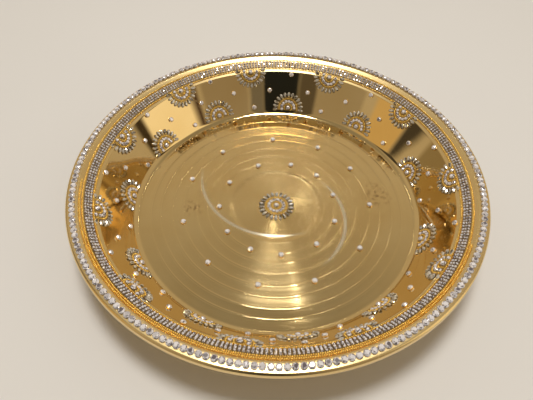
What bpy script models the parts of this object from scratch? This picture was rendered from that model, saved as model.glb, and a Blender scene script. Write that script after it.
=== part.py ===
"""Decorated brass tray: a spun brass dish with chains, rosettes and single stones glued on.

The dish is turned about Z and stands on z = 0. Angles run from the front of the tray, which is -Y,
towards +X. The decoration repeats eleven times round the dish, each piece set where a hand put it.
"""

import math

import bmesh
import bpy
import numpy as np
from mathutils import Matrix, Vector

MM = 0.001

# The sheet
RIM_RADIUS = 140 * MM
SHEET = 1.2 * MM
FLOOR_TOP = SHEET
LIP_HEIGHT = FLOOR_TOP + 37.6 * MM
CREASE_RADIUS = 102.5 * MM
WALL_SLOPE = math.radians(58.45)
SHOULDER_SLOPE = math.radians(33)
FLANGE_RADIUS = 132.65 * MM
LIP_DROP = 3.4 * MM
CREASE_FILLET = 6 * MM
CORNER_FILLET = 2.5 * MM
FLANGE_FILLET = 4 * MM
LIP_FILLET = 2 * MM
FILLET_STEPS = 2
ROUND_STEPS = 72
WELD = 0.01 * MM

# Decoration laid in rings
GLUE_GAP = 0.3 * MM
RIM_CHAIN_RADIUS = 135.5 * MM
RIM_STONE = 4.1 * MM
RIM_STONE_HEIGHT = 2.2 * MM
RIM_STONE_BEVEL = 0.7 * MM
OUTER_BALLS_RADIUS = 129.6 * MM
FRONT_BALLS_RADIUS = 131.2 * MM
INNER_BALLS_RADIUS = 123.45 * MM
BALL = 1.22 * MM
BALL_SIDES = 6
FRONT_BALLS_FROM = math.radians(-84)
FRONT_BALLS_TO = math.radians(65)
BAND_RADIUS = 126.5 * MM
BAND_ROWS = 3
BAND_ROW_PITCH = 1.75 * MM
BAND_STONE_HEIGHT = 1.4 * MM
BAND_GROOVE = 0.4 * MM
RIDGE_STARTS = 0.3
RIDGE_ENDS = 0.7

# Rosettes, with each upper and lower one's angle in degrees
PETALS = 22
PETAL_TIP = 13.3 * MM
PETAL_VALLEY = 11.5 * MM
PETAL_HEIGHT = 1.5 * MM
FIELD_RADIUS = 8.3 * MM
FIELD_HEIGHT = 1.9 * MM
HEART_RADIUS = 1.9 * MM
HEART_HEIGHT = 2.8 * MM
TIER_START = 0.5 * MM
FIELD_SIDES = 16
HEART_SIDES = 8
CENTRE_ROSETTE_SHIFT = -1.5 * MM
UPPER_CENTRE_RADIUS = 121.5 * MM
UPPER_CUT = 1.45 * MM
UPPER_ANGLES = (22.7, 56.7, 92.4, 126.6, 160.3, 192.3, 221.9, 253.4, 286.2, 318.3, 351.9)
LOWER_CENTRE_RADIUS = 105.4 * MM
LOWER_CUT = -2.3 * MM
LOWER_ANGLES = (38.9, 73.2, 107.6, 142.0, 176.1, 209.3, 239.4, 270.3, 303.3, 336.2, 8.5)

# Single stones on the floor, a ring at a time: radius, middle x and y, then each stone's angle in degrees
STONE = 4.0 * MM
STONE_TABLE = 2.2 * MM
STONE_GIRDLE = 0.6 * MM
STONE_HEIGHT = 1.7 * MM
STONE_SIDES = 10
FLOOR_RINGS = (
    (68.9 * MM, 0, 0, (23, 58, 92, 124, 152, 184, 220.5, 251.5, 286, 319.5, 351.5)),
    (43 * MM, 1.1 * MM, -1.5 * MM, (4.5, 40, 73, 106.5, 137, 167.5, 202.5, 240.5, 273.5, 305.5, 335.5)),
)

BRASS = (0.72, 0.50, 0.20)
GOLD = (0.80, 0.52, 0.12)
CLEAR = (0.82, 0.82, 0.86)


def material(name, colour, roughness, metallic):
    made = bpy.data.materials.new(name)
    made.use_nodes = True
    shader = made.node_tree.nodes["Principled BSDF"]
    shader.inputs["Base Color"].default_value = (*colour, 1)
    shader.inputs["Roughness"].default_value = roughness
    shader.inputs["Metallic"].default_value = metallic
    made.diffuse_color = (*colour, 1)
    return made


def new_collection(name, hidden=False):
    made = bpy.data.collections.new(name)
    bpy.context.scene.collection.children.link(made)
    made.hide_render = hidden
    return made


def place(name, mesh, parent, finish, turn=0.0, location=(0, 0, 0)):
    """An object in the tray's collection. Copies of a repeated piece share one mesh."""
    obj = bpy.data.objects.new(name, mesh)
    bpy.data.collections["brass_tray"].objects.link(obj)
    obj.parent = parent
    obj.location = location
    obj.rotation_euler.z = turn
    if not mesh.materials:
        mesh.materials.append(None)
    obj.material_slots[0].link = "OBJECT"
    obj.material_slots[0].material = material(name, *finish)
    return obj


def rounded(corners):
    """The path through ((radius, height), fillet) corners, with each fillet as a short arc."""
    path = []
    for i, (corner, fillet) in enumerate(corners):
        corner = Vector(corner)
        if not fillet:
            path.append(corner)
            continue
        before = (Vector(corners[i - 1][0]) - corner).normalized()
        after = (Vector(corners[i + 1][0]) - corner).normalized()
        half = before.angle(after) / 2
        centre = corner + (before + after).normalized() * fillet / math.sin(half)
        first = corner + before * fillet / math.tan(half) - centre
        last = corner + after * fillet / math.tan(half) - centre
        sweep = math.atan2(first.cross(last), first.dot(last))
        for step in range(FILLET_STEPS + 1):
            path.append(centre + Matrix.Rotation(sweep * step / FILLET_STEPS, 2) @ first)
    return np.array([tuple(point) for point in path])


def upper_surface():
    """The dish's upper surface from its centre out to the lip's lower edge, as (radius, height) points."""
    rise = LIP_HEIGHT - FLOOR_TOP - (FLANGE_RADIUS - CREASE_RADIUS) * math.tan(SHOULDER_SLOPE)
    run = rise / (math.tan(WALL_SLOPE) - math.tan(SHOULDER_SLOPE))
    corner = (CREASE_RADIUS + run, FLOOR_TOP + run * math.tan(WALL_SLOPE))
    return rounded([
        ((0, FLOOR_TOP), 0),
        ((CREASE_RADIUS, FLOOR_TOP), CREASE_FILLET),
        (corner, CORNER_FILLET),
        ((FLANGE_RADIUS, LIP_HEIGHT), FLANGE_FILLET),
        ((RIM_RADIUS, LIP_HEIGHT), LIP_FILLET),
        ((RIM_RADIUS, LIP_HEIGHT - LIP_DROP), 0),
    ])


def normals_of(path):
    """Each point's normal on the path's upper side, with the end points square to their own stretch."""
    along = np.diff(path, axis=0)
    along /= np.linalg.norm(along, axis=1)[:, None]
    along = np.vstack([along[:1], along[:-1] + along[1:], along[-1:]])
    along /= np.linalg.norm(along, axis=1)[:, None]
    return np.column_stack([-along[:, 1], along[:, 0]])


def under_surface(path):
    """The path moved down by the sheet's thickness, mitred at each point."""
    along = np.diff(path, axis=0)
    along /= np.linalg.norm(along, axis=1)[:, None]
    turns = np.einsum("ij,ij->i", along[:-1], along[1:])
    mitre = np.concatenate([[1], 1 / np.sqrt((1 + turns) / 2), [1]])
    return path - normals_of(path) * (SHEET * mitre)[:, None]


SURFACE = upper_surface()
NORMALS = normals_of(SURFACE)
RUN = np.concatenate([[0], np.cumsum(np.linalg.norm(np.diff(SURFACE, axis=0), axis=1))])
FLAT_POINTS = int(np.argmax(SURFACE[:, 0] >= RIM_RADIUS - LIP_FILLET)) + 1


def run_at(radius):
    """How far along the upper surface, from the centre, this radius is."""
    return float(np.interp(radius, SURFACE[:FLAT_POINTS, 0], RUN[:FLAT_POINTS]))


def off_surface(run, lift):
    """(radius, height) of the point this far along the upper surface and this far off it."""
    point = np.array([np.interp(run, RUN, SURFACE[:, axis]) for axis in (0, 1)])
    normal = np.array([np.interp(run, RUN, NORMALS[:, axis]) for axis in (0, 1)])
    return tuple(point + normal / np.linalg.norm(normal) * lift)


def turned(name, profile, parent, finish, closed=False):
    """A body turned about Z from a profile of (radius, height) points."""
    mesh = bpy.data.meshes.new(name)
    shape = bmesh.new()
    points = [shape.verts.new((radius, 0, height)) for radius, height in profile]
    for first, second in zip(points, points[1:]):
        shape.edges.new((first, second))
    if closed:
        shape.edges.new((points[-1], points[0]))
    shape.to_mesh(mesh)
    shape.free()
    obj = place(name, mesh, parent, finish)
    screw = obj.modifiers.new("Turn", "SCREW")
    screw.axis = "Z"
    screw.steps = ROUND_STEPS
    screw.render_steps = ROUND_STEPS
    screw.use_merge_vertices = True
    screw.merge_threshold = WELD
    screw.use_smooth_shade = True
    return obj


def ring_of_stones(name, radius, width, height, rows, groove, parent, finish):
    """A flat chain of stones laid round the dish: one ridge a row, with a groove between rows.

    Off the surface, its outline runs from the outer foot to the inner foot, over the top and back.
    """
    middle = run_at(radius)
    pitch = width / rows
    start = middle + width / 2
    outline = [(start, GLUE_GAP), (start - width, GLUE_GAP)]
    top = []
    for row in range(rows):
        inner = start - width + row * pitch
        top.append((inner, GLUE_GAP + height - groove))
        top.append((inner + pitch * RIDGE_STARTS, GLUE_GAP + height))
        top.append((inner + pitch * RIDGE_ENDS, GLUE_GAP + height))
    top.append((start, GLUE_GAP + height - groove))
    profile = [off_surface(run, lift) for run, lift in outline + top]
    return turned(name, profile, parent, finish, closed=True)


def ball_ring(name, radius, parent, finish):
    """A ball chain laid all the way round, as the round bead that its balls make."""
    centre = off_surface(run_at(radius), GLUE_GAP + BALL / 2)
    profile = []
    for side in range(BALL_SIDES):
        angle = -math.tau * (side + 0.5) / BALL_SIDES
        profile.append((centre[0] + BALL / 2 * math.cos(angle), centre[1] + BALL / 2 * math.sin(angle)))
    return turned(name, profile, parent, finish, closed=True)


def ball_arc(name, radius, start, end, parent, finish):
    """A ball chain laid part of the way round, with its two ends cut square."""
    ring_radius, height = off_surface(run_at(radius), GLUE_GAP + BALL / 2)
    steps = round((end - start) / math.tau * ROUND_STEPS)
    curve = bpy.data.curves.new(name, "CURVE")
    curve.dimensions = "3D"
    spline = curve.splines.new("POLY")
    spline.points.add(steps)
    for step, point in enumerate(spline.points):
        angle = start + (end - start) * step / steps
        point.co = (ring_radius * math.sin(angle), -ring_radius * math.cos(angle), height, 1)
    curve.bevel_depth = BALL / 2
    curve.bevel_resolution = 1
    curve.use_fill_caps = True
    return place(name, curve, parent, finish)


def prism(outline, low, high):
    """A mesh with this flat outline, from one height to another."""
    shape = bmesh.new()
    base = shape.faces.new([shape.verts.new((x, y, low)) for x, y in outline])
    grown = bmesh.ops.extrude_face_region(shape, geom=[base])["geom"]
    moved = [item for item in grown if isinstance(item, bmesh.types.BMVert)]
    bmesh.ops.translate(shape, verts=moved, vec=(0, 0, high - low))
    bmesh.ops.recalc_face_normals(shape, faces=shape.faces)
    mesh = bpy.data.meshes.new("prism")
    shape.to_mesh(mesh)
    shape.free()
    return mesh


def circle_outline(radius, sides):
    return [(radius * math.cos(math.tau * i / sides), radius * math.sin(math.tau * i / sides))
            for i in range(sides)]


def petal_outline():
    """Round the petals: a notch, then a tip."""
    outline = []
    for petal in range(PETALS):
        for share, radius in ((0, PETAL_VALLEY), (0.5, PETAL_TIP)):
            angle = math.tau * (petal + share) / PETALS
            outline.append((radius * math.cos(angle), radius * math.sin(angle)))
    return outline


def rosette_mesh(cutters):
    """The whole flat rosette: the petals, the raised field of small stones, and the stone at its heart."""
    base = bpy.data.objects.new("rosette_blank", prism(petal_outline(), 0, PETAL_HEIGHT))
    cutters.objects.link(base)
    tiers = (
        ("field", FIELD_RADIUS, FIELD_SIDES, FIELD_HEIGHT),
        ("heart", HEART_RADIUS, HEART_SIDES, HEART_HEIGHT),
    )
    for name, radius, sides, height in tiers:
        outline = circle_outline(radius, sides)
        tier = bpy.data.objects.new(f"rosette_{name}", prism(outline, TIER_START, height))
        tier.hide_render = True
        tier.display_type = "WIRE"
        cutters.objects.link(tier)
        union = base.modifiers.new(name, "BOOLEAN")
        union.operation = "UNION"
        union.object = tier
    base.hide_render = True
    base.display_type = "WIRE"
    bpy.context.view_layer.update()
    graph = bpy.context.evaluated_depsgraph_get()
    return bpy.data.meshes.new_from_object(base.evaluated_get(graph))


def cut_rosette(whole, cut, keep_above):
    """The part of the rosette on one side of a straight cut across it, closed again at the cut."""
    shape = bmesh.new()
    shape.from_mesh(whole)
    side = -1 if keep_above else 1
    bmesh.ops.bisect_plane(
        shape,
        geom=[*shape.verts, *shape.edges, *shape.faces],
        plane_co=(0, cut, 0),
        plane_no=(0, side, 0),
        clear_outer=True,
    )
    bmesh.ops.holes_fill(shape, edges=[edge for edge in shape.edges if edge.is_boundary])
    bmesh.ops.recalc_face_normals(shape, faces=shape.faces)
    bmesh.ops.triangulate(shape, faces=shape.faces)
    mesh = bpy.data.meshes.new("half_rosette")
    shape.to_mesh(mesh)
    shape.free()
    return mesh


def bent_onto_dish(mesh, centre_run):
    """Lays a flat mesh on the dish at its front, its x towards -X and its y up the slope.

    It is scored at each bend of the dish first, so that it can follow them.
    """
    shape = bmesh.new()
    shape.from_mesh(mesh)
    for bend in RUN:
        bmesh.ops.bisect_plane(
            shape,
            geom=[*shape.verts, *shape.edges, *shape.faces],
            plane_co=(0, bend - centre_run, 0),
            plane_no=(0, 1, 0),
        )
    bmesh.ops.triangulate(shape, faces=shape.faces)
    shape.to_mesh(mesh)
    shape.free()
    for vertex in mesh.vertices:
        across, up, lift = vertex.co
        flat_radius = off_surface(centre_run + up, 0)[0]
        radius, height = off_surface(centre_run + up, GLUE_GAP + lift)
        angle = -across / flat_radius
        vertex.co = (radius * math.sin(angle), -radius * math.cos(angle), height)
    return mesh


def stone_mesh():
    """A flat-backed round stone: a girdle, a bevelled crown and a flat table."""
    shape = bmesh.new()
    bmesh.ops.create_cone(
        shape, cap_ends=True, segments=STONE_SIDES,
        radius1=STONE / 2, radius2=STONE / 2, depth=STONE_GIRDLE,
        matrix=Matrix.Translation((0, 0, STONE_GIRDLE / 2)),
    )
    top = max(shape.faces, key=lambda face: face.calc_center_median().z)
    crown = bmesh.ops.extrude_face_region(shape, geom=[top])["geom"]
    table = [item for item in crown if isinstance(item, bmesh.types.BMVert)]
    bmesh.ops.scale(shape, verts=table, vec=(STONE_TABLE / STONE, STONE_TABLE / STONE, 1))
    bmesh.ops.translate(shape, verts=table, vec=(0, 0, STONE_HEIGHT - STONE_GIRDLE))
    bmesh.ops.delete(shape, geom=[top], context="FACES_ONLY")
    bmesh.ops.recalc_face_normals(shape, faces=shape.faces)
    mesh = bpy.data.meshes.new("stone")
    shape.to_mesh(mesh)
    shape.free()
    return mesh


def build_dish(parent):
    profile = [*SURFACE, *under_surface(SURFACE)[::-1]]
    dish = turned("tray_body", profile, parent, (BRASS, 0.18, 1.0))
    dish.data.shade_smooth()


def build_rings(parent):
    stones = (CLEAR, 0.08, 0.0)
    balls = (GOLD, 0.25, 1.0)
    ring_of_stones(
        "rim_crystal_chain", RIM_CHAIN_RADIUS, RIM_STONE, RIM_STONE_HEIGHT, 1, RIM_STONE_BEVEL,
        parent, stones,
    )
    ring_of_stones(
        "crystal_banding", BAND_RADIUS, BAND_ROWS * BAND_ROW_PITCH, BAND_STONE_HEIGHT, BAND_ROWS,
        BAND_GROOVE, parent, stones,
    )
    ball_ring("outer_ball_chain", OUTER_BALLS_RADIUS, parent, balls)
    ball_ring("inner_ball_chain", INNER_BALLS_RADIUS, parent, balls)
    ball_arc("front_ball_chain", FRONT_BALLS_RADIUS, FRONT_BALLS_FROM, FRONT_BALLS_TO, parent, balls)


def build_rosettes(parent, cutters):
    finish = (CLEAR, 0.12, 0.0)
    whole = rosette_mesh(cutters)
    centre = (0, CENTRE_ROSETTE_SHIFT, FLOOR_TOP + GLUE_GAP)
    place("centre_rosette", whole, parent, finish, location=centre)
    kinds = (
        ("upper", UPPER_CENTRE_RADIUS, UPPER_CUT, False, UPPER_ANGLES),
        ("lower", LOWER_CENTRE_RADIUS, LOWER_CUT, True, LOWER_ANGLES),
    )
    for kind, radius, cut, keep_above, angles in kinds:
        half = bent_onto_dish(cut_rosette(whole, cut, keep_above), run_at(radius))
        for number, angle in enumerate(angles, 1):
            place(f"{kind}_rosette_{number:02d}", half, parent, finish, turn=math.radians(angle))


def build_floor_stones(parent):
    finish = (CLEAR, 0.05, 0.0)
    mesh = stone_mesh()
    number = 0
    for radius, middle_x, middle_y, angles in FLOOR_RINGS:
        for angle in angles:
            number += 1
            turn = math.radians(angle)
            x = middle_x + radius * math.sin(turn)
            y = middle_y - radius * math.cos(turn)
            spot = (x, y, FLOOR_TOP + GLUE_GAP)
            place(f"floor_crystal_{number:02d}", mesh, parent, finish, turn=turn, location=spot)


def main():
    for obj in list(bpy.data.objects):
        bpy.data.objects.remove(obj)
    tray = new_collection("brass_tray")
    cutters = new_collection("cutters", hidden=True)
    parent = bpy.data.objects.new("tray_origin", None)
    tray.objects.link(parent)
    build_dish(parent)
    build_rings(parent)
    build_rosettes(parent, cutters)
    build_floor_stones(parent)


main()
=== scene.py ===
"""The looks of the decorated brass tray: the turned sheet, each stone and ball of the trim, and the studio.

The tray stands on z = 0 with its axis on Z. Angles run from the front of the tray, which is -Y, towards
+X. A run is a distance along the dish's upper surface, from the centre outwards.
"""

import math
import random

import bmesh
import bpy
import numpy as np
from mathutils import Matrix, Vector


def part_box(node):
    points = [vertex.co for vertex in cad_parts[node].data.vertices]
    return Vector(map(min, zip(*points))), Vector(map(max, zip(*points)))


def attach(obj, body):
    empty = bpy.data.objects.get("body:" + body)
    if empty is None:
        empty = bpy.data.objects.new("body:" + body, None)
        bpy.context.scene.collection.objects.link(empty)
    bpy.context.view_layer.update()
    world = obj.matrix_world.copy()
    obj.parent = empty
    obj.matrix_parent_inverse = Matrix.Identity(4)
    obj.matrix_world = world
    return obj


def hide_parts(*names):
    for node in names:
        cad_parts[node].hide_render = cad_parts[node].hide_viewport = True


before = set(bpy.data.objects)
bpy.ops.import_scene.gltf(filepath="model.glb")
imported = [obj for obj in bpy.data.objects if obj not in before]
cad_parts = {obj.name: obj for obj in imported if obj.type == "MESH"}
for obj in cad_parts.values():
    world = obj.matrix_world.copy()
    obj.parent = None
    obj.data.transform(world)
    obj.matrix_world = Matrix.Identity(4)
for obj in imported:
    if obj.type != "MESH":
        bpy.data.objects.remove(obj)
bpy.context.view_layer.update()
MM = 0.001

# The dish, as the CAD has it
DISH_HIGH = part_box("tray_body")[1]
RIM_RADIUS = DISH_HIGH.x
LIP_HEIGHT = DISH_HIGH.z
SHEET = 1.2 * MM
FLOOR_TOP = SHEET
CREASE_RADIUS = 102.5 * MM
WALL_SLOPE = math.radians(58.45)
SHOULDER_SLOPE = math.radians(33)
FLANGE_RADIUS = 132.65 * MM
LIP_DROP = 3.4 * MM
CREASE_FILLET = 6 * MM
CORNER_FILLET = 2.5 * MM
FLANGE_FILLET = 4 * MM
LIP_FILLET = 2 * MM
FILLET_STEPS = 9
ROUND_STEPS = 400
SHARP_FROM = math.radians(50)

# Turned steps in the floor, as shares of the rim's radius, with a shallow dished band before each one
FLOOR_STEPS = (0.246, 0.310, 0.364, 0.4215, 0.4905, 0.546, 0.605, 0.6545)
POLISHED_FROM = 0.605
STEP_WIDTH = 0.9 * MM
STEP_DEPTH = 0.08 * MM
FLOOR_BAND_SAG = 0.03 * MM
FLOOR_BAND_PARTS = 8
# How far the last band, and then the floor, end before the crease's fillet
LAST_BAND_GAP = 1.5 * MM
FLOOR_GAP = 0.6 * MM
# A step's crest and trough: shares of its width before and after its middle, and of its depth
CREST_BEFORE = 0.2
TROUGH_AFTER = 0.15
TROUGH_DEPTH = 0.6
# How far the floor's finish climbs into the crease, and the wall's passes the corner
FLOOR_FINISH_RISE = 0.15 * MM
WALL_FINISH_REACH = 1 * MM

# The rim chain: stones in low cups. A fill is a stone's or a ball's width as a share of its own space.
RIM_CHAIN_RADIUS = 135.5 * MM
RIM_STONES = 204
RIM_STONE = 4.1 * MM
RIM_STONE_FILL = 0.98
RIM_STONE_LIFT = 0.4 * MM
RIM_CUP_HEIGHT = 0.6 * MM
LARGE_STONE_HEIGHT = 1.55 * MM
PRONGS = 4
PRONG = 0.5 * MM
PRONG_REACH = 0.47
PRONG_LIFT = 0.85 * MM
# Its line wanders in waves, so many to a turn, of sizes between these two in mm
RIM_WAVES = (3, 5, 8, 13)
RIM_WAVE_SIZES = (0.04, 0.11)
RIM_WOBBLE = 0.06 * MM
RIM_TURN_WOBBLE = math.radians(0.06)
RIM_TILT = math.radians(5)

# The banding
BAND_RADIUS = 126.5 * MM
BAND_ROWS = (-1, 0, 1)
BAND_ROW_PITCH = 1.75 * MM
BAND_COLUMNS = 332
BAND_STONE = 1.72 * MM
BAND_STONE_LIFT = 0.45 * MM
BAND_STONE_HEIGHT = 1.05 * MM
BAND_TURN_WOBBLE = math.radians(0.05)
BAND_TILT = math.radians(9)
STRIP_BOTTOM = 0.02 * MM
STRIP_TOP = 0.5 * MM

# The ball chains
OUTER_BALLS_RADIUS = 129.6 * MM
FRONT_BALLS_RADIUS = 131.2 * MM
INNER_BALLS_RADIUS = 123.45 * MM
BALL = 1.22 * MM
BALL_FILL = 0.9
BALL_WOBBLE = 0.05 * MM
BALL_LIFT_WOBBLE = 0.03 * MM
FRONT_BALLS_FROM = math.radians(-84)
FRONT_BALLS_TO = math.radians(65)

# Rosettes: distances from their own middle, with how many beads or stones a ring has
PETALS = 22
PETAL_TIP = 13.2 * MM
PETAL_ROOT = 8.4 * MM
PETAL_WIDTH = 2.5 * MM
PETAL_HEIGHT = 1.15 * MM
PETAL_LIFT = 0.35 * MM
OUTER_BEADS = (7.65 * MM, 40)
SMALL_STONES = (5.45 * MM, 13)
INNER_BEADS = (3.25 * MM, 17)
BEAD = 1.05 * MM
OUTER_BEAD_LIFT = 0.25 * MM
INNER_BEAD_LIFT = 0.45 * MM
SMALL_STONE = 2.6 * MM
SMALL_STONE_HEIGHT = 1.05 * MM
SMALL_STONE_LIFT = 0.7 * MM
SMALL_STONE_FOLD = 6
HEART_STONE = 3.6 * MM
HEART_HEIGHT = 1.6 * MM
HEART_LIFT = 0.9 * MM
HEART_SPIN = 0.3
BACKING_RADIUS = 9.0 * MM
BACKING_BOTTOM = 0.05 * MM
BACKING_TOP = 0.75 * MM
BACKING_LEVELS = 6
BACKING_SIDES = 48
# Where the rosettes are, with each upper and lower one's angle in degrees
CENTRE_ROSETTE_SHIFT = -1.5 * MM
UPPER_CENTRE_RADIUS = 121.5 * MM
UPPER_CUT = 1.45 * MM
UPPER_ANGLES = (22.7, 56.7, 92.4, 126.6, 160.3, 192.3, 221.9, 253.4, 286.2, 318.3, 351.9)
LOWER_CENTRE_RADIUS = 105.4 * MM
LOWER_CUT = -2.3 * MM
LOWER_ANGLES = (38.9, 73.2, 107.6, 142.0, 176.1, 209.3, 239.4, 270.3, 303.3, 336.2, 8.5)

# Single stones: each floor ring's radius, the x and y of its middle, and its stones' angles in degrees
FLOOR_RINGS = (
    (68.9 * MM, 0, 0, (23, 58, 92, 124, 152, 184, 220.5, 251.5, 286, 319.5, 351.5)),
    (43 * MM, 1.1 * MM, -1.5 * MM, (4.5, 40, 73, 106.5, 137, 167.5, 202.5, 240.5, 273.5, 305.5, 335.5)),
)
SINGLE_STONE = 4.0 * MM
SINGLE_STONE_FILL = 0.96
SINGLE_STONE_LIFT = 0.3 * MM
SINGLE_CUP_HEIGHT = 0.35 * MM
SINGLE_CUP_SIDES = 16
LOW_STONES_RADIUS = 105.8 * MM
MIDDLE_STONES_RADIUS = 113.1 * MM
HIGH_STONES_RADIUS = 120.2 * MM
WALL_STONE_WOBBLE = 0.6 * MM
WALL_STONE_TURN_WOBBLE = math.radians(0.5)

# Finishes, as linear colour
BRASS = (0.89, 0.69, 0.345, 1)
BRASS_DEEP = (0.84, 0.625, 0.285, 1)
BRASS_STAIN = (0.50, 0.31, 0.13, 1)
SCRATCH_DEPTH = 0.0012 * MM
SCRATCH_ROUGHNESS = 0.08
# Patches of tarnish on the floor: (x, y, radius)
STAINS = (
    (74.5 * MM, 13.1 * MM, 14 * MM),
    (-61.4 * MM, -5.4 * MM, 10 * MM),
    (30 * MM, 72 * MM, 8 * MM),
)
# Curved arcs on the floor: rougher buffing marks that also carry a painted highlight in a paler tone. Each
# arc's centre x and y, radius, middle angle and half length
BUFFED_HIGHLIGHT_ARCS = (
    (0, 30 * MM, 58.5 * MM, math.radians(-35), math.radians(60)),
    (0, -13 * MM, 50 * MM, math.radians(89), math.radians(52)),
)
ARC_WIDTH = 1.3 * MM
BUFFED_ROUGHNESS = 0.36
# The arcs' paler tone is a painted highlight, standing in for lamp highlights on the turned floor
ARC_PAINTED_HIGHLIGHT = (1.0, 0.95, 0.80, 1)
ARC_FADE = math.radians(28)

# The viewpoint, measured from the centre of the rim: the distance in rim radii, the lens in mm
VIEW_DISTANCE = 2.3496
VIEW_ELEVATION = math.radians(46.874)
VIEW_PAN = math.radians(1.187)
VIEW_TILT = math.radians(-3.631)
VIEW_ROLL = math.radians(1.872)
VIEW_LENS = 32.586
SENSOR_WIDTH = 36
CLIP_START = 0.01

# The studio's floor: a pale square of this half width, and its two tones
FLOOR_REACH = 3
FLOOR_TONES = ((0.76, 0.75, 0.73, 1), (0.71, 0.70, 0.68, 1))
# The studio's even light, as linear colour: from the sides and from higher up
SKY_SIDE = (0.47, 0.395, 0.30, 1)
SKY_HIGH = (0.27, 0.235, 0.185, 1)
HIGH_FROM = math.radians(46)
HIGH_TO = math.radians(63)
# Brighter and darker panels: (tray angle of the middle, half width, lowest, highest, in degrees, colour)
PANELS = (
    (320, 17, -5, 50, (0.34, 0.28, 0.21, 1)),
    (78, 16, -5, 52, (1.0, 0.86, 0.66, 1)),
    (57.5, 1.6, -5, 45, (0.06, 0.03, 0.02, 1)),
    (96.5, 3, -5, 50, (0.05, 0.035, 0.02, 1)),
    (38, 15, -5, 55, (0.31, 0.25, 0.185, 1)),
    (17, 5, -5, 60, (0.17, 0.15, 0.13, 1)),
    (341, 6, -5, 60, (0.10, 0.08, 0.06, 1)),
    (-0.5, 12.5, -5, 66, (0.016, 0.017, 0.018, 1)),
    (284, 11, 5, 50, (0.60, 0.42, 0.20, 1)),
    (243, 12, -5, 22, (0.26, 0.20, 0.12, 1)),
    (265, 7.5, 12.5, 50, (0.06, 0.05, 0.04, 1)),
    (180, 50, 76, 100, (1.2, 1.1, 0.95, 1)),
)
# How softly a panel ends, in degrees either side of its sides, its bottom and its top
PANEL_SIDE_BLUR = 1.5
PANEL_LOW_BLUR = 1
PANEL_HIGH_BLUR = 6
# Lamps: (name, tray angle and elevation in degrees, distance and size in metres, watts, colour)
LAMPS = (
    ("soft_box", 180, 87, 1.8, 0.45, 19, (1.0, 0.97, 0.93)),
    ("lamp_back", 176.5, 50.6, 2.2, 0.02, 0.02, (1.0, 0.95, 0.85)),
    ("lamp_high", 180.7, 53.9, 2.2, 0.02, 0.03, (1.0, 0.95, 0.85)),
    ("lamp_top", 167, 70, 2.0, 0.02, 0.5, (1.0, 0.95, 0.88)),
)

rng = random.Random(11)


# ---------------------------------------------------------------- the dish's surface

def rounded(corners):
    """The path through ((radius, height), fillet) corners, with each fillet as a short arc."""
    path = []
    for i, (corner, fillet) in enumerate(corners):
        corner = Vector(corner)
        if not fillet:
            path.append(corner)
            continue
        before = (Vector(corners[i - 1][0]) - corner).normalized()
        after = (Vector(corners[i + 1][0]) - corner).normalized()
        half = before.angle(after) / 2
        centre = corner + (before + after).normalized() * fillet / math.sin(half)
        first = corner + before * fillet / math.tan(half) - centre
        last = corner + after * fillet / math.tan(half) - centre
        sweep = math.atan2(first.cross(last), first.dot(last))
        for step in range(FILLET_STEPS + 1):
            path.append(centre + Matrix.Rotation(sweep * step / FILLET_STEPS, 2) @ first)
    return np.array([tuple(point) for point in path])


def wall_corner():
    """(radius, height) where the wall's line meets the shoulder's."""
    rise = LIP_HEIGHT - FLOOR_TOP - (FLANGE_RADIUS - CREASE_RADIUS) * math.tan(SHOULDER_SLOPE)
    run = rise / (math.tan(WALL_SLOPE) - math.tan(SHOULDER_SLOPE))
    return CREASE_RADIUS + run, FLOOR_TOP + run * math.tan(WALL_SLOPE)


CORNER = wall_corner()
SURFACE = rounded([
    ((0, FLOOR_TOP), 0),
    ((CREASE_RADIUS, FLOOR_TOP), CREASE_FILLET),
    (CORNER, CORNER_FILLET),
    ((FLANGE_RADIUS, LIP_HEIGHT), FLANGE_FILLET),
    ((RIM_RADIUS, LIP_HEIGHT), LIP_FILLET),
    ((RIM_RADIUS, LIP_HEIGHT - LIP_DROP), 0),
])
RUN = np.concatenate([[0], np.cumsum(np.linalg.norm(np.diff(SURFACE, axis=0), axis=1))])
RISING_POINTS = int(np.argmax(SURFACE[:, 0] >= RIM_RADIUS - LIP_FILLET)) + 1


def normals_of(path):
    """Each point's normal on the path's upper side."""
    along = np.diff(path, axis=0)
    along /= np.linalg.norm(along, axis=1)[:, None]
    along = np.vstack([along[:1], along[:-1] + along[1:], along[-1:]])
    along /= np.linalg.norm(along, axis=1)[:, None]
    return np.column_stack([-along[:, 1], along[:, 0]])


NORMALS = normals_of(SURFACE)


def run_at(radius):
    """How far along the upper surface, from the centre, this radius is."""
    return float(np.interp(radius, SURFACE[:RISING_POINTS, 0], RUN[:RISING_POINTS]))


def on_dish(angle, run, lift=0.0, spin=0.0):
    """The frame of a point on the dish: Z off the surface, Y up the slope, then turned by spin about Z."""
    radius, height = (float(np.interp(run, RUN, SURFACE[:, axis])) for axis in (0, 1))
    out, up = (float(np.interp(run, RUN, NORMALS[:, axis])) for axis in (0, 1))
    away = Vector((math.sin(angle), -math.cos(angle), 0))
    normal = (away * out + Vector((0, 0, up))).normalized()
    slope = (away * up - Vector((0, 0, out))).normalized()
    across = slope.cross(normal)
    place = Matrix((across, slope, normal)).transposed().to_4x4()
    place.translation = away * radius + Vector((0, 0, height)) + normal * lift
    return place @ Matrix.Rotation(spin, 4, "Z")


# ---------------------------------------------------------------- mesh building

def hull(points):
    """The convex hull of the points as (vertices, faces), with flat neighbours joined into one facet."""
    flat = math.radians(0.5)
    shape = bmesh.new()
    for point in points:
        shape.verts.new(point)
    made = bmesh.ops.convex_hull(shape, input=shape.verts)
    loose = [item for item in made["geom_interior"] if isinstance(item, bmesh.types.BMVert)]
    bmesh.ops.delete(shape, geom=loose, context="VERTS")
    bmesh.ops.dissolve_limit(shape, angle_limit=flat, verts=shape.verts, edges=shape.edges)
    bmesh.ops.recalc_face_normals(shape, faces=shape.faces)
    return taken_from(shape)


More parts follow.
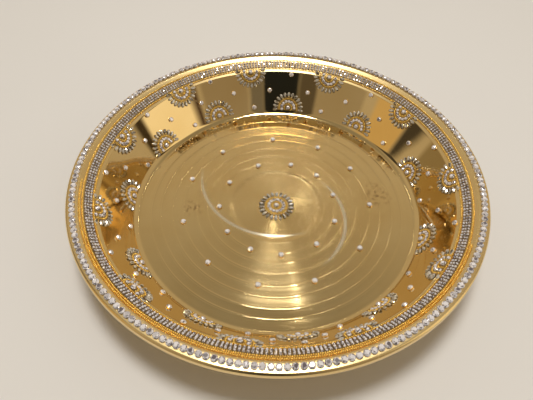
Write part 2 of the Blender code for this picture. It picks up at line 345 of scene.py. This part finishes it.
def taken_from(shape):
    """The shape as (vertices, faces). The shape itself is freed."""
    shape.verts.ensure_lookup_table()
    shape.verts.index_update()
    vertices = np.array([tuple(vertex.co) for vertex in shape.verts])
    faces = [[vertex.index for vertex in face.verts] for face in shape.faces]
    shape.free()
    return vertices, faces


def ring(radius, height, count, offset=0.0):
    """Points evenly round a circle, the first one turned by this share of a step."""
    angles = [math.tau * (i + offset) / count for i in range(count)]
    return [(radius * math.cos(a), radius * math.sin(a), height) for a in angles]


def cut_stone(width, height, fold=8):
    """A round stone with a brilliant's crown: table, stars, kites and girdle facets on a shallow base."""
    table, star, girdle, base = (share * width / 2 for share in (0.55, 0.81, 1, 0.92))
    star_height = 0.80 * height
    girdle_height = 0.42 * height
    return hull([
        *ring(table, height, fold),
        *ring(star, star_height, fold, 0.5),
        *ring(girdle, girdle_height, 2 * fold),
        *ring(base, 0, 2 * fold),
    ])


def small_stone(width, height, fold=6):
    """A small round stone: a table and one row of crown facets."""
    table, girdle, base = (share * width / 2 for share in (0.5, 1, 0.9))
    girdle_height = 0.45 * height
    return hull([*ring(table, height, fold), *ring(girdle, girdle_height, fold), *ring(base, 0, fold)])


def petal_stone(length, width, height):
    """A pear-shaped stone lying along Y from its root at 0, widest near its rounded tip."""
    side = [(0.33, 0.25), (0.5, 0.6), (0.36, 0.88)]
    outline = [(0, 0), *side, (0, 1), *[(-x, y) for x, y in reversed(side)]]
    middle = 0.56
    # Each level of the cut: its height, and how wide and how long it is beside the girdle
    levels = ((0.4 * height, 1, 1), (0, 0.94, 0.94), (height, 0.5, 0.55))
    points = []
    for x, y in outline:
        for level, wide, long in levels:
            points.append((x * width * wide, (middle + (y - middle) * long) * length, level))
    return hull(points)


def ball(width, detail=2):
    """A round ball about its own middle."""
    shape = bmesh.new()
    bmesh.ops.create_icosphere(shape, subdivisions=detail, radius=width / 2)
    return taken_from(shape)


def low_cup(width, height, sides=12):
    """The turned metal cup under a stone: a plain drum with a slightly narrower foot."""
    foot = 0.9
    return hull([*ring(width / 2, height, sides), *ring(width / 2 * foot, 0, sides)])


class Build:
    """Collects copies of small meshes, each group with its own material, into one piece."""

    def __init__(self):
        self.vertices, self.faces, self.slots, self.smooth, self.materials = [], [], [], [], []
        self.count = 0

    def add(self, template, places, finish, smooth=False):
        if finish not in self.materials:
            self.materials.append(finish)
        slot = self.materials.index(finish)
        points, faces = template
        for place in places:
            turn = np.array(place)
            self.vertices.append(points @ turn[:3, :3].T + turn[:3, 3])
            self.faces.extend([index + self.count for index in face] for face in faces)
            self.count += len(points)
        self.slots.extend([slot] * (len(faces) * len(places)))
        self.smooth.extend([smooth] * (len(faces) * len(places)))

    def mesh(self, name):
        made = bpy.data.meshes.new(name)
        made.from_pydata(np.concatenate(self.vertices).tolist(), [], self.faces)
        made.polygons.foreach_set("material_index", self.slots)
        made.polygons.foreach_set("use_smooth", self.smooth)
        for finish in self.materials:
            made.materials.append(finish)
        # A random value for each face, which the stones' material turns into painted glints and painted
        # shade
        sparkle = made.attributes.new("facet", "FLOAT", "FACE")
        sparkle.data.foreach_set("value", [rng.random() for _ in self.faces])
        made.update()
        return made


def piece(name, mesh, nodes, turn=0.0, location=(0, 0, 0)):
    """A finished piece in its place, riding on the tray and standing for its CAD nodes."""
    obj = bpy.data.objects.new(name, mesh)
    bpy.context.scene.collection.objects.link(obj)
    obj.location = location
    obj.rotation_euler.z = turn
    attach(obj, "root")
    if nodes:
        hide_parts(*nodes)


# ---------------------------------------------------------------- materials

class Nodes:
    """A short way to wire the nodes of a material or a world."""

    # A colour mix's share, its two colours and its result, among the sockets of a Mix node
    MIX_SHARE, MIX_FIRST, MIX_SECOND, MIX_RESULT = 0, 6, 7, 2

    def __init__(self, owner):
        owner.use_nodes = True
        self.tree = owner.node_tree

    def new(self, kind, inputs=None, **settings):
        node = self.tree.nodes.new(kind)
        for key, value in settings.items():
            setattr(node, key, value)
        for key, value in (inputs or {}).items():
            self.set(node.inputs[key], value)
        return node

    def set(self, socket, value):
        if isinstance(value, bpy.types.NodeSocket):
            self.tree.links.new(value, socket)
        else:
            socket.default_value = value

    def split(self, vector):
        return self.new("ShaderNodeSeparateXYZ", {0: vector}).outputs

    def math(self, operation, first, second=0.0, third=0.0):
        return self.new("ShaderNodeMath", {0: first, 1: second, 2: third}, operation=operation).outputs[0]

    def length(self, x, y):
        squares = self.math("ADD", self.math("MULTIPLY", x, x), self.math("MULTIPLY", y, y))
        return self.math("SQRT", squares)

    def turned_from(self, angle, middle):
        """How far the angle is from the middle one, either way, in radians."""
        away = self.math("SUBTRACT", angle, middle)
        return self.math("ABSOLUTE", self.math("WRAP", away, math.pi, -math.pi))

    def ramp(self, factor, low, high, to_low=0.0, to_high=1.0):
        inputs = {0: factor, 1: low, 2: high, 3: to_low, 4: to_high}
        return self.new("ShaderNodeMapRange", inputs, clamp=True).outputs[0]

    def noise(self, vector, scale, detail=3.0, roughness=0.5):
        inputs = {"Vector": vector, "Scale": scale, "Detail": detail, "Roughness": roughness}
        return self.new("ShaderNodeTexNoise", inputs).outputs["Fac"]

    def mix(self, factor, first, second):
        inputs = {self.MIX_SHARE: factor, self.MIX_FIRST: first, self.MIX_SECOND: second}
        return self.new("ShaderNodeMix", inputs, data_type="RGBA").outputs[self.MIX_RESULT]

    def position(self):
        return self.new("ShaderNodeTexCoord").outputs["Object"]

    def principled(self, **values):
        for key, value in values.items():
            self.set(self.tree.nodes["Principled BSDF"].inputs[key.replace("_", " ")], value)

    def radial(self, along, across):
        """A vector that changes slowly round the tray and quickly outwards."""
        smallest = 1e-5
        x, y, z = self.split(self.position())
        radius = self.length(x, y)
        safe = self.math("MAXIMUM", radius, smallest)
        inputs = {
            0: self.math("MULTIPLY", self.math("DIVIDE", x, safe), along),
            1: self.math("MULTIPLY", self.math("DIVIDE", y, safe), along),
            2: self.math("MULTIPLY", self.math("ADD", radius, z), across),
        }
        return self.new("ShaderNodeCombineXYZ", inputs).outputs[0]


def brass_colour(n, stain):
    """Brass with slow drifts in tone, and brown tarnish: scattered faint specks, and the patches."""
    spot = n.position()
    drift = n.ramp(n.noise(spot, scale=22, detail=4), low=0.35, high=0.7)
    specks = n.ramp(n.noise(spot, scale=90, detail=6, roughness=0.7), low=0.66, high=0.8)
    tarnish = n.math("MULTIPLY", specks, stain)
    broken = n.ramp(n.noise(spot, scale=420, detail=5, roughness=0.75), low=0.5, high=0.62)
    for x, y, reach in STAINS:
        ends = {0: spot, 1: (x, y, FLOOR_TOP)}
        away = n.new("ShaderNodeVectorMath", ends, operation="DISTANCE").outputs["Value"]
        patch = n.ramp(away, low=reach * 0.2, high=reach, to_low=1.0, to_high=0.0)
        tarnish = n.math("MAXIMUM", tarnish, n.math("MULTIPLY", patch, broken))
    return n.mix(tarnish, n.mix(drift, BRASS, BRASS_DEEP), BRASS_STAIN)


def scratches(n, scale, turn):
    """Fine stray scratches, all one way: short thin threads of a stretched noise, in scattered places."""
    stretch = (scale * 0.06, scale, scale * 0.2)
    inputs = {"Vector": n.position(), "Rotation": (0, 0, turn), "Scale": stretch}
    spot = n.new("ShaderNodeMapping", inputs).outputs[0]
    from_middle = n.math("SUBTRACT", n.noise(spot, scale=1.0, detail=1, roughness=0.4), 0.5)
    thin = n.ramp(n.math("ABSOLUTE", from_middle), low=0.0, high=0.008, to_low=1.0, to_high=0.0)
    places = n.ramp(n.noise(spot, scale=0.33, detail=1), low=0.55, high=0.62)
    return n.math("MULTIPLY", thin, places)


def buffed_highlight_arcs(n):
    """How far each spot of the floor lies on one of the curved arcs, from 0 to 1. The arcs are rougher
    buffing marks with a painted highlight.
    """
    x, y, _ = n.split(n.position())
    most = 0.0
    for centre_x, centre_y, radius, middle, half in BUFFED_HIGHLIGHT_ARCS:
        across = n.math("SUBTRACT", x, centre_x)
        back = n.math("SUBTRACT", centre_y, y)
        off = n.math("ABSOLUTE", n.math("SUBTRACT", n.length(across, back), radius))
        near = n.ramp(off, low=0.0, high=ARC_WIDTH * 2, to_low=1.0, to_high=0.0)
        turn = n.turned_from(n.math("ARCTAN2", across, back), middle)
        inside = n.ramp(turn, low=half - ARC_FADE, high=half, to_low=1.0, to_high=0.0)
        most = n.math("MAXIMUM", most, n.math("MULTIPLY", n.math("POWER", near, 2.0), inside))
    return most


def turned_brass(name, roughness, brush, stain, anisotropy=0.0, wave=0.0, buffed_highlights=False):
    """Turned brass: concentric tool marks, stray scratches, and polish that varies with the passes.

    The brush marks and the slow waves have depths in metres. With buffed_highlights the sheet has the
    floor's arcs: rougher buffing marks, painted a paler tone as a painted highlight.
    """
    made = bpy.data.materials.new(name)
    n = Nodes(made)
    marks = n.noise(n.radial(along=0.5, across=2600), scale=1.0, detail=2)
    passes = n.noise(n.radial(along=0.2, across=330), scale=1.0, detail=2)
    cuts = n.math("MAXIMUM", scratches(n, scale=420, turn=0.6), scratches(n, scale=360, turn=2.3))
    polish = n.ramp(passes, low=0.3, high=0.7, to_low=roughness * 0.82, to_high=roughness * 1.15)
    rough = n.math("ADD", polish, n.math("MULTIPLY", cuts, SCRATCH_ROUGHNESS))
    tone = brass_colour(n, stain)
    if buffed_highlights:
        arc_mask = buffed_highlight_arcs(n)
        rough = n.math("ADD", rough, n.math("MULTIPLY", arc_mask, BUFFED_ROUGHNESS))
        # Painted highlight: the paler tone on the arcs stands in for lamp highlights on the floor
        tone = n.mix(arc_mask, tone, ARC_PAINTED_HIGHLIGHT)
    height = n.math("ADD", n.math("MULTIPLY", marks, brush), n.math("MULTIPLY", passes, brush * 2))
    height = n.math("SUBTRACT", height, n.math("MULTIPLY", cuts, SCRATCH_DEPTH))
    if wave:
        waves = n.noise(n.position(), scale=26, detail=1)
        height = n.math("ADD", height, n.math("MULTIPLY", waves, wave))
    bump = n.new("ShaderNodeBump", {"Height": height, "Strength": 1.0, "Distance": 1.0})
    n.principled(Base_Color=tone, Metallic=1.0, Roughness=rough, Normal=bump.outputs[0])
    if anisotropy:
        tangent = n.new("ShaderNodeTangent", direction_type="RADIAL", axis="Z")
        n.principled(Anisotropic=anisotropy, Anisotropic_Rotation=0.25, Tangent=tangent.outputs[0])
    return made


def grain(n, scale, detail, strength):
    """A fine grain under the polish, as a normal."""
    inputs = {"Height": n.noise(n.position(), scale, detail), "Strength": strength, "Distance": 0.1 * MM}
    return n.new("ShaderNodeBump", inputs).outputs[0]


def plated(name, pale, deep, metallic, smoothest, roughest):
    """Plated trim: a tone and a polish that wander a little, and a fine grain."""
    made = bpy.data.materials.new(name)
    n = Nodes(made)
    spot = n.position()
    tone = n.mix(n.ramp(n.noise(spot, scale=300), low=0.35, high=0.7), pale, deep)
    wear = n.noise(spot, scale=900, detail=4)
    rough = n.ramp(wear, low=0.3, high=0.8, to_low=smoothest, to_high=roughest)
    normal = grain(n, scale=2500, detail=3, strength=0.15)
    n.principled(Base_Color=tone, Metallic=metallic, Roughness=rough, Normal=normal)
    return made


def crystal(name, pale, dark, metallic):
    """A foil-backed stone with a clear coat over the foil. Each facet's random brightness, from the dark
    colour to the pale one, is painted glint and painted shade standing in for the stone's sparkle.
    """
    made = bpy.data.materials.new(name)
    n = Nodes(made)
    cloud = n.noise(n.position(), scale=700)
    facet = n.new("ShaderNodeAttribute", attribute_name="facet").outputs["Fac"]
    # Painted glints and painted shade: each facet is made lighter or darker at random, for the sparkle of
    # the stones
    painted_glint = n.ramp(facet, low=0.12, high=0.55)
    share = n.math("MULTIPLY", painted_glint, n.ramp(cloud, low=0.2, high=0.7, to_low=0.8, to_high=1.0))
    rough = n.ramp(cloud, low=0.3, high=0.8, to_low=0.03, to_high=0.12)
    normal = grain(n, scale=1600, detail=2, strength=0.1)
    n.principled(Base_Color=n.mix(share, dark, pale), Metallic=metallic, Roughness=rough, Normal=normal)
    n.principled(Coat_Weight=1.0, Coat_Roughness=0.02, Coat_IOR=1.56)
    return made


MIRROR_BRASS = turned_brass("wall_brass", roughness=0.05, brush=8e-7, stain=0.10, wave=0.24 * MM)
# The floor brass carries the arcs' painted highlight
FLOOR_BRASS = turned_brass(
    "floor_brass", roughness=0.13, brush=5e-7, stain=0.22, anisotropy=0.9, buffed_highlights=True,
)
EDGE_BRASS = turned_brass("floor_edge_brass", roughness=0.07, brush=6e-7, stain=0.15, anisotropy=0.3)
RIM_BRASS = turned_brass("rim_brass", roughness=0.27, brush=1.5e-6, stain=0.15)
UNDER_BRASS = turned_brass("under_brass", roughness=0.30, brush=4e-6, stain=0.5, anisotropy=0.5)
GOLD = plated(
    "gold_beads", pale=(1.0, 0.69, 0.17, 1), deep=(0.90, 0.56, 0.10, 1),
    metallic=0.6, smoothest=0.18, roughest=0.34,
)
SILVER = plated(
    "silver_cup", pale=(0.80, 0.79, 0.82, 1), deep=(0.62, 0.61, 0.64, 1),
    metallic=0.8, smoothest=0.2, roughest=0.35,
)
STRIP = plated(
    "band_strip", pale=(0.30, 0.21, 0.10, 1), deep=(0.17, 0.12, 0.06, 1),
    metallic=0.8, smoothest=0.35, roughest=0.5,
)
BACKING = plated(
    "backing", pale=(0.52, 0.37, 0.15, 1), deep=(0.36, 0.25, 0.09, 1),
    metallic=0.9, smoothest=0.3, roughest=0.45,
)
# The stones' pale and dark colours are painted glint and painted shade on their facets
CLEAR = crystal("clear_stone", pale=(0.99, 0.97, 1.0, 1), dark=(0.16, 0.14, 0.16, 1), metallic=0.25)
PETAL = crystal("petal_stone", pale=(0.80, 0.76, 0.67, 1), dark=(0.14, 0.11, 0.07, 1), metallic=0.5)


# ---------------------------------------------------------------- the dish

def floor_points():
    """(radius, height) points over the floor: a shallow step at each turned ring, dished between them."""
    edges = [0.0, *(share * RIM_RADIUS for share in FLOOR_STEPS)]
    end = CREASE_RADIUS - CREASE_FILLET * math.tan(WALL_SLOPE / 2)
    points = [(0, FLOOR_TOP)]
    for inner, outer in zip(edges, [*edges[1:], end]):
        start = inner + STEP_WIDTH / 2 if inner else 0
        stop = outer - STEP_WIDTH / 2 if outer < end else end - LAST_BAND_GAP
        for part in range(1, FLOOR_BAND_PARTS):
            share = part / FLOOR_BAND_PARTS
            sag = FLOOR_BAND_SAG * math.sin(math.pi * share)
            points.append((start + (stop - start) * share, FLOOR_TOP - sag))
        if outer < end:
            points.append((stop, FLOOR_TOP))
            points.append((outer - STEP_WIDTH * CREST_BEFORE, FLOOR_TOP + STEP_DEPTH))
            points.append((outer + STEP_WIDTH * TROUGH_AFTER, FLOOR_TOP - STEP_DEPTH * TROUGH_DEPTH))
            points.append((outer + STEP_WIDTH / 2, FLOOR_TOP))
    points.append((end - FLOOR_GAP, FLOOR_TOP))
    return points


def finish_at(radius, height, upper):
    """Which brass a stretch of the section has."""
    if not upper:
        return UNDER_BRASS
    if height < FLOOR_TOP + FLOOR_FINISH_RISE and radius < CREASE_RADIUS:
        return EDGE_BRASS if radius > POLISHED_FROM * RIM_RADIUS else FLOOR_BRASS
    return MIRROR_BRASS if radius < CORNER[0] + WALL_FINISH_REACH else RIM_BRASS


def dish_section():
    """The section as (radius, height) points, up over the lip and back under, and each stretch's brass."""
    upper = [*floor_points(), *[tuple(point) for point in SURFACE[1:]]]
    along = np.diff(SURFACE, axis=0)
    along /= np.linalg.norm(along, axis=1)[:, None]
    bends = np.einsum("ij,ij->i", along[:-1], along[1:])
    mitre = np.concatenate([[1], 1 / np.sqrt((1 + bends) / 2), [1]])
    below = SURFACE - NORMALS * (SHEET * mitre)[:, None]
    section = upper + [(max(radius, 0), max(height, 0)) for radius, height in below[::-1]]
    finishes = []
    for i, (first, second) in enumerate(zip(section, section[1:])):
        radius, height = (first[0] + second[0]) / 2, (first[1] + second[1]) / 2
        finishes.append(finish_at(radius, height, i < len(upper) - 1))
    return section, finishes


def build_dish():
    """The sheet, turned about Z from its section."""
    section, finishes = dish_section()
    materials = list(dict.fromkeys(finishes))
    shape = bmesh.new()
    rings = []
    for radius, height in section:
        if radius == 0:
            rings.append([shape.verts.new((0, 0, height))])
            continue
        rings.append([shape.verts.new(point) for point in ring(radius, height, ROUND_STEPS)])
    for (inner, outer), finish in zip(zip(rings, rings[1:]), finishes):
        for i in range(ROUND_STEPS):
            j = (i + 1) % ROUND_STEPS
            if len(inner) == 1:
                face = shape.faces.new((inner[0], outer[i], outer[j]))
            elif len(outer) == 1:
                face = shape.faces.new((inner[i], outer[0], inner[j]))
            else:
                face = shape.faces.new((inner[i], outer[i], outer[j], inner[j]))
            face.material_index = materials.index(finish)
            face.smooth = True
    mesh = bpy.data.meshes.new("dish")
    shape.to_mesh(mesh)
    shape.free()
    for finish in materials:
        mesh.materials.append(finish)
    mesh.set_sharp_from_angle(angle=SHARP_FROM)
    piece("dish", mesh, ["tray_body"])


# ---------------------------------------------------------------- the trim

def wobble(amount):
    """A random amount, up to this much either way."""
    return rng.uniform(-amount, amount)


def raised(lift):
    return Matrix.Translation((0, 0, lift))


def tilted(most):
    """A small random tilt of up to this angle each way, and a random turn."""
    sideways = Matrix.Rotation(wobble(most), 4, "X")
    lengthways = Matrix.Rotation(wobble(most), 4, "Y")
    return sideways @ lengthways @ Matrix.Rotation(rng.uniform(0, math.tau), 4, "Z")


def build_rim_chain():
    """Large stones in low silver cups with four prongs each, along a line that wanders slightly."""
    build = Build()
    stones, cups, prongs = [], [], []
    waves = [(count, rng.uniform(0, math.tau), rng.uniform(*RIM_WAVE_SIZES) * MM) for count in RIM_WAVES]
    for i in range(RIM_STONES):
        angle = math.tau * i / RIM_STONES
        drift = sum(size * math.sin(count * angle + phase) for count, phase, size in waves)
        run = run_at(RIM_CHAIN_RADIUS) + drift + wobble(RIM_WOBBLE)
        seat = on_dish(angle + wobble(RIM_TURN_WOBBLE), run)
        cups.append(seat)
        stones.append(seat @ raised(RIM_STONE_LIFT) @ tilted(RIM_TILT))
        for corner in range(PRONGS):
            around = Matrix.Rotation(math.tau * (corner + 0.5) / PRONGS, 4, "Z")
            prongs.append(seat @ around @ Matrix.Translation((RIM_STONE * PRONG_REACH, 0, PRONG_LIFT)))
    build.add(low_cup(RIM_STONE, RIM_CUP_HEIGHT), cups, SILVER)
    build.add(cut_stone(RIM_STONE * RIM_STONE_FILL, LARGE_STONE_HEIGHT), stones, CLEAR)
    build.add(ball(PRONG, 1), prongs, SILVER, smooth=True)
    piece("rim_stones", build.mesh("rim_stones"), ["rim_crystal_chain"])


def build_banding():
    """Three rows of small stones in columns, on a low dark strip."""
    build = Build()
    stones = []
    middle = run_at(BAND_RADIUS)
    for column in range(BAND_COLUMNS):
        angle = math.tau * column / BAND_COLUMNS
        for row in BAND_ROWS:
            run = middle + row * BAND_ROW_PITCH
            seat = on_dish(angle + wobble(BAND_TURN_WOBBLE), run, BAND_STONE_LIFT)
            stones.append(seat @ tilted(BAND_TILT))
    build.add(small_stone(BAND_STONE, BAND_STONE_HEIGHT), stones, CLEAR)
    half = len(BAND_ROWS) / 2 * BAND_ROW_PITCH
    build.add(turned_strip(middle - half, middle + half), [Matrix.Identity(4)], STRIP)
    piece("band_stones", build.mesh("band_stones"), ["crystal_banding"])


def turned_strip(start, end):
    """A flat closed strip laid round the dish from one run to another."""
    seats = [(start, STRIP_BOTTOM), (start, STRIP_TOP), (end, STRIP_TOP), (end, STRIP_BOTTOM)]
    points, faces = [], []
    for step in range(BAND_COLUMNS):
        for run, lift in seats:
            points.append(tuple(on_dish(math.tau * step / BAND_COLUMNS, run, lift).translation))
        here = len(seats) * step
        after = len(seats) * ((step + 1) % BAND_COLUMNS)
        for side in range(len(seats)):
            other = (side + 1) % len(seats)
            faces.append([here + side, here + other, after + other, after + side])
    return np.array(points), faces


def build_ball_chain(name, radius, node, start=0.0, end=math.tau):
    """Balls a ball's width apart, dipping a little in and out of line."""
    build = Build()
    whole = end - start >= math.tau
    count = round((end - start) * radius / BALL)
    places = []
    for i in range(count):
        angle = start + (end - start) * (i / count if whole else (i + 0.5) / count)
        run = run_at(radius) + wobble(BALL_WOBBLE)
        places.append(on_dish(angle, run, BALL / 2 + wobble(BALL_LIFT_WOBBLE)))
    build.add(ball(BALL * BALL_FILL), places, GOLD, smooth=True)
    piece(name, build.mesh(name), [node])


def round_spots(radius, count, lift, offset=0.0):
    """(x, y, angle, lift) of each of so many things set evenly round a rosette."""
    spots = []
    for i in range(count):
        angle = math.tau * (i + offset) / count
        spots.append((radius * math.cos(angle), radius * math.sin(angle), angle, lift))
    return spots


def spun(spots):
    """The same spots, each with a random spin of its own."""
    return [(x, y, rng.random(), lift) for x, y, _, lift in spots]


def rosette_parts():
    """(template, [(x, y, spin, lift)], material, smooth) for each kind of stone and bead in a rosette."""
    petals = round_spots(PETAL_ROOT, PETALS, PETAL_LIFT, 0.5)
    petals = [(x, y, angle - math.pi / 2, lift) for x, y, angle, lift in petals]
    outer_beads = spun(round_spots(*OUTER_BEADS, BEAD / 2 + OUTER_BEAD_LIFT))
    small_stones = spun(round_spots(*SMALL_STONES, SMALL_STONE_LIFT))
    inner_beads = spun(round_spots(*INNER_BEADS, BEAD / 2 + INNER_BEAD_LIFT))
    heart = [(0, 0, HEART_SPIN, HEART_LIFT)]
    small = cut_stone(SMALL_STONE, SMALL_STONE_HEIGHT, SMALL_STONE_FOLD)
    return [
        (petal_stone(PETAL_TIP - PETAL_ROOT, PETAL_WIDTH, PETAL_HEIGHT), petals, PETAL, False),
        (ball(BEAD), outer_beads, GOLD, True),
        (small, small_stones, CLEAR, False),
        (ball(BEAD), inner_beads, GOLD, True),
        (cut_stone(HEART_STONE, HEART_HEIGHT), heart, CLEAR, False),
    ]


def rosette_mesh(name, place, cut=None, above=False):
    """One rosette's mesh. place(x, y, lift, spin) gives each stone's frame, and a cut keeps one side."""
    build = Build()
    for template, spots, finish, smooth in rosette_parts():
        kept = [spot for spot in spots if cut is None or (spot[1] > cut) == above]
        places = [place(x, y, lift, spin) for x, y, spin, lift in kept]
        build.add(template, places, finish, smooth)
    build.add(backing_mesh(place, cut, above), [Matrix.Identity(4)], BACKING)
    return build.mesh(name)


def backing_mesh(place, cut, above):
    """The thin gilt plate under the stones, following the dish, with its cut edge straight."""
    shape = bmesh.new()
    middle = shape.verts.new((0, 0, 0))
    rings = []
    for level in range(1, BACKING_LEVELS + 1):
        points = ring(BACKING_RADIUS * level / BACKING_LEVELS, 0, BACKING_SIDES)
        rings.append([shape.verts.new(point) for point in points])
    for side in range(BACKING_SIDES):
        after = (side + 1) % BACKING_SIDES
        shape.faces.new((middle, rings[0][side], rings[0][after]))
        for inner, outer in zip(rings, rings[1:]):
            shape.faces.new((inner[side], outer[side], outer[after], inner[after]))
    if cut is not None:
        bmesh.ops.bisect_plane(
            shape, geom=[*shape.verts, *shape.edges, *shape.faces],
            plane_co=(0, cut, 0), plane_no=(0, -1 if above else 1, 0), clear_outer=True,
        )
    grown = bmesh.ops.extrude_face_region(shape, geom=list(shape.faces), use_keep_orig=True)["geom"]
    top = {item for item in grown if isinstance(item, bmesh.types.BMVert)}
    for vertex in shape.verts:
        lift = BACKING_TOP if vertex in top else BACKING_BOTTOM
        vertex.co = place(vertex.co.x, vertex.co.y, lift, 0).translation
    bmesh.ops.recalc_face_normals(shape, faces=shape.faces)
    return taken_from(shape)


def build_rosettes():
    """The whole rosette on the floor, and the two rings of half rosettes, which bend with the dish."""
    def flat(x, y, lift, spin):
        return Matrix.Translation((x, y, lift)) @ Matrix.Rotation(spin, 4, "Z")

    def bent(centre_run):
        def place(x, y, lift, spin):
            radius = float(np.interp(centre_run + y, RUN, SURFACE[:, 0]))
            return on_dish(-x / radius, centre_run + y, lift, spin)
        return place

    whole = rosette_mesh("centre_rosette", flat)
    centre = (0, CENTRE_ROSETTE_SHIFT, FLOOR_TOP)
    piece("centre_stones", whole, ["centre_rosette"], location=centre)
    kinds = (
        ("upper", UPPER_CENTRE_RADIUS, UPPER_CUT, False, UPPER_ANGLES),
        ("lower", LOWER_CENTRE_RADIUS, LOWER_CUT, True, LOWER_ANGLES),
    )
    for kind, radius, cut, above, angles in kinds:
        half = rosette_mesh(kind, bent(run_at(radius)), cut, above)
        for number, angle in enumerate(angles, 1):
            name = f"{kind}_stones_{number:02d}"
            node = f"{kind}_rosette_{number:02d}"
            piece(name, half, [node], turn=math.radians(angle))


def single_stones(places):
    """Cut stones, each in a thin gold rim."""
    build = Build()
    stones = [place @ raised(SINGLE_STONE_LIFT) for place in places]
    build.add(low_cup(SINGLE_STONE, SINGLE_CUP_HEIGHT, SINGLE_CUP_SIDES), places, GOLD)
    build.add(cut_stone(SINGLE_STONE * SINGLE_STONE_FILL, LARGE_STONE_HEIGHT), stones, CLEAR)
    return build


def zigzag():
    """(angle in degrees, radius) of each single stone on the wall, between and beside the half rosettes."""
    spots = [(angle, LOW_STONES_RADIUS) for angle in UPPER_ANGLES]
    spots += [(angle, HIGH_STONES_RADIUS) for angle in LOWER_ANGLES]
    ordered = sorted(UPPER_ANGLES + LOWER_ANGLES)
    for angle, after in zip(ordered, [*ordered[1:], ordered[0] + 360]):
        spots.append(((angle + after) / 2, MIDDLE_STONES_RADIUS))
    return spots


def build_single_stones():
    """A piece for each stone on the floor, and one piece for all those on the wall."""
    mesh = single_stones([Matrix.Identity(4)]).mesh("single_stone")
    number = 0
    for radius, middle_x, middle_y, angles in FLOOR_RINGS:
        for angle in angles:
            number += 1
            turn = math.radians(angle)
            spot = (middle_x + radius * math.sin(turn), middle_y - radius * math.cos(turn), FLOOR_TOP)
            name = f"floor_stone_{number:02d}"
            node = f"floor_crystal_{number:02d}"
            spin = rng.uniform(0, math.tau)
            piece(name, mesh, [node], turn=spin, location=spot)
    places = []
    for angle, radius in zigzag():
        run = run_at(radius) + wobble(WALL_STONE_WOBBLE)
        turn = math.radians(angle) + wobble(WALL_STONE_TURN_WOBBLE)
        places.append(on_dish(turn, run, 0, rng.uniform(0, math.tau)))
    piece("wall_stones", single_stones(places).mesh("wall_stones"), [])


# ---------------------------------------------------------------- the studio

def build_camera():
    """The camera, aimed at the centre of the rim, then panned, tilted and rolled."""
    data = bpy.data.cameras.new("camera")
    data.lens = VIEW_LENS
    data.sensor_width = SENSOR_WIDTH
    data.clip_start = CLIP_START
    camera = bpy.data.objects.new("camera", data)
    bpy.context.scene.collection.objects.link(camera)
    bpy.context.scene.camera = camera
    forward = Vector((0, math.cos(VIEW_ELEVATION), -math.sin(VIEW_ELEVATION)))
    right = Vector((1, 0, 0))
    up = right.cross(forward)
    pan = Matrix.Rotation(VIEW_PAN, 3, up)
    right, forward = pan @ right, pan @ forward
    tilt = Matrix.Rotation(VIEW_TILT, 3, right)
    up, forward = tilt @ up, tilt @ forward
    side = right * math.cos(VIEW_ROLL) + up * math.sin(VIEW_ROLL)
    top = -right * math.sin(VIEW_ROLL) + up * math.cos(VIEW_ROLL)
    camera.matrix_world = Matrix((side, top, -forward)).transposed().to_4x4()
    reach = VIEW_DISTANCE * RIM_RADIUS
    camera.location = (0, -reach * math.cos(VIEW_ELEVATION), LIP_HEIGHT + reach * math.sin(VIEW_ELEVATION))


def build_floor():
    """The pale floor that the tray stands on."""
    shape = bmesh.new()
    bmesh.ops.create_grid(shape, x_segments=2, y_segments=2, size=FLOOR_REACH)
    mesh = bpy.data.meshes.new("studio_floor")
    shape.to_mesh(mesh)
    shape.free()
    pale = bpy.data.materials.new("pale_floor")
    n = Nodes(pale)
    tone = n.mix(n.noise(n.position(), scale=3), *FLOOR_TONES)
    n.principled(Base_Color=tone, Roughness=0.7)
    mesh.materials.append(pale)
    floor = bpy.data.objects.new("studio_floor", mesh)
    bpy.context.scene.collection.objects.link(floor)


def area_light(name, angle, elevation, distance, size, power, colour):
    """A soft square light facing the tray from a tray angle and an elevation, in degrees."""
    data = bpy.data.lights.new(name, "AREA")
    data.size = size
    data.energy = power
    data.color = colour
    light = bpy.data.objects.new(name, data)
    bpy.context.scene.collection.objects.link(light)
    turn, climb = math.radians(angle), math.radians(elevation)
    away = Vector((math.sin(turn) * math.cos(climb), -math.cos(turn) * math.cos(climb), math.sin(climb)))
    light.location = away * distance
    light.rotation_euler = away.to_track_quat("Z", "Y").to_euler()


def build_light():
    """Even warm light, with wide brighter and darker panels all round the tray, and the lamps."""
    world = bpy.data.worlds.new("studio")
    bpy.context.scene.world = world
    n = Nodes(world)
    x, y, z = n.split(n.new("ShaderNodeTexCoord").outputs["Generated"])
    angle = n.math("ARCTAN2", x, n.math("MULTIPLY", y, -1.0))
    height = n.math("ARCSINE", z)
    light = n.mix(n.ramp(height, HIGH_FROM, HIGH_TO), SKY_SIDE, SKY_HIGH)

    def edge(value, degrees, blur, to_low, to_high):
        return n.ramp(value, math.radians(degrees - blur), math.radians(degrees + blur), to_low, to_high)

    for middle, reach, low, high, colour in PANELS:
        inside = edge(n.turned_from(angle, math.radians(middle)), reach, PANEL_SIDE_BLUR, 1.0, 0.0)
        above = edge(height, low, PANEL_LOW_BLUR, 0.0, 1.0)
        below = edge(height, high, PANEL_HIGH_BLUR, 1.0, 0.0)
        light = n.mix(n.math("MULTIPLY", inside, n.math("MULTIPLY", above, below)), light, colour)
    background = n.tree.nodes["Background"]
    n.set(background.inputs["Color"], light)
    n.set(background.inputs["Strength"], 1.0)
    for lamp in LAMPS:
        area_light(*lamp)
    bpy.context.scene.view_settings.view_transform = "Standard"


build_camera()
build_floor()
build_light()
build_dish()
build_rim_chain()
build_banding()
build_ball_chain("outer_balls", OUTER_BALLS_RADIUS, "outer_ball_chain")
build_ball_chain("inner_balls", INNER_BALLS_RADIUS, "inner_ball_chain")
build_ball_chain("front_balls", FRONT_BALLS_RADIUS, "front_ball_chain", FRONT_BALLS_FROM, FRONT_BALLS_TO)
build_rosettes()
build_single_stones()
